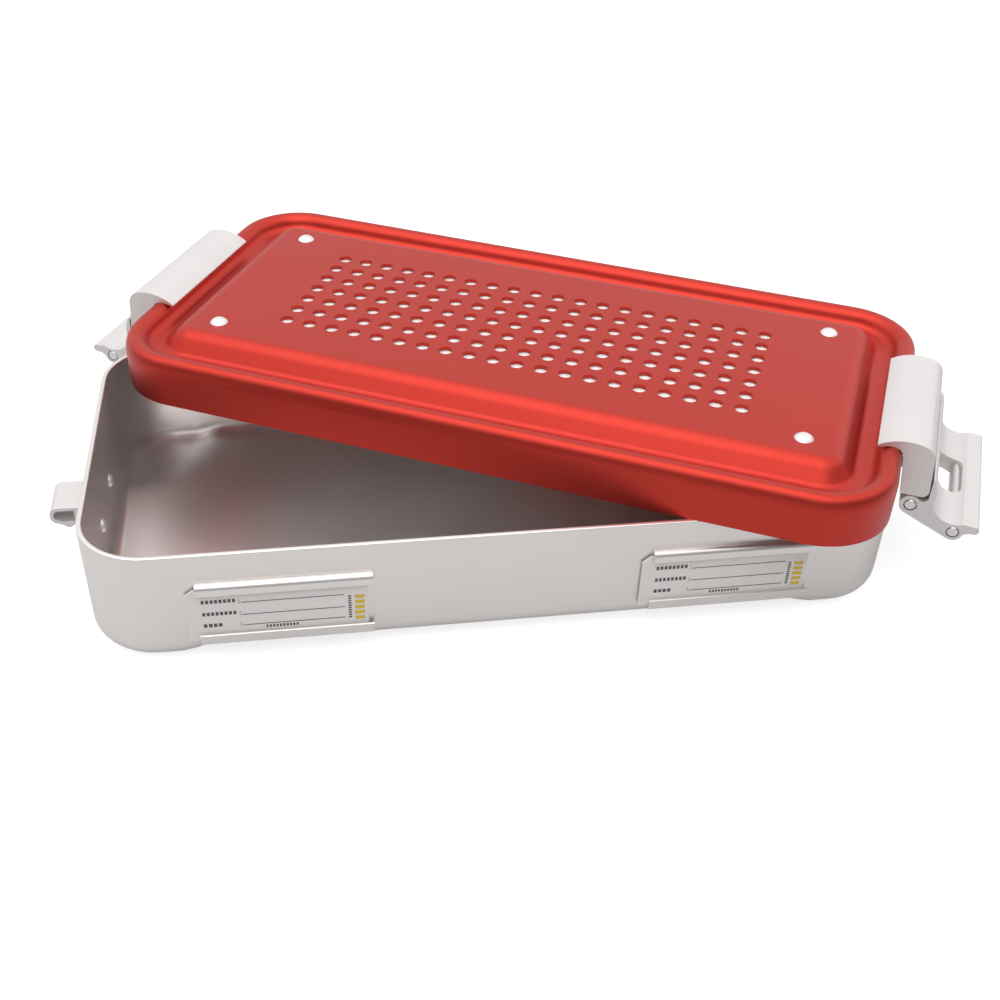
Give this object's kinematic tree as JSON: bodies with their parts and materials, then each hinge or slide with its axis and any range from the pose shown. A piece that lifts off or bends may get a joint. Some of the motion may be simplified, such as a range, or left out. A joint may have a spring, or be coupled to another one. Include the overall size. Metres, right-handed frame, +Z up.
{
  "type": "sterilization box",
  "caption": "Flat surgical sterilization box: drawn tray with catch hooks and label holders, perforated filter lid with hinged end latches.",
  "frame": {"origin": "centre of the tray on the surface it stands on", "axes": "+X along the tray's length, +Y away from the label holders, +Z up"},
  "size_m": [0.3796, 0.258, 0.0716],
  "materials": {
    "anodised_aluminium": "satin anodised",
    "red_anodised_aluminium": "red anodised, satin",
    "latch_aluminium": "extruded, satin anodised",
    "steel": "stainless",
    "silicone": "moulded silicone",
    "filter_paper": "non-woven filter sheet",
    "card": "printed indicator card"
  },
  "bodies": {
    "box": {"tray": "anodised_aluminium", "lid": "red_anodised_aluminium", "lid_gasket": "silicone", "filter_sheet": "filter_paper", "filter_retainer": "anodised_aluminium", "lid_rivets": "steel", "latch_clamp_right": "latch_aluminium", "clamp_rivets_right": "steel", "hinge_pin_right": "steel", "catch_bracket_right": "latch_aluminium", "catch_rivets_right": "steel", "label_holder_right": "anodised_aluminium", "label_card_right": "card", "latch_clamp_left": "latch_aluminium", "clamp_rivets_left": "steel", "hinge_pin_left": "steel", "catch_bracket_left": "latch_aluminium", "catch_rivets_left": "steel", "label_holder_left": "anodised_aluminium", "label_card_left": "card"},
    "latch_lever_right": {"latch_lever_right": "latch_aluminium", "catch_bar_right": "steel"},
    "latch_lever_left": {"latch_lever_left": "latch_aluminium", "catch_bar_left": "steel"}
  },
  "joints": [
    {"name": "latch_right_hinge", "type": "hinge", "parent": "box", "child": "latch_lever_right", "pos_m": [0.1686, -0.03834, 0.0443], "axis": [0.4509, 0.8926, 0], "range_deg": [0, 69]},
    {"name": "latch_left_hinge", "type": "hinge", "parent": "box", "child": "latch_lever_left", "pos_m": [-0.12328, 0.1091, 0.0443], "axis": [-0.4509, -0.8926, 0], "range_deg": [0, 69]}
  ]
}
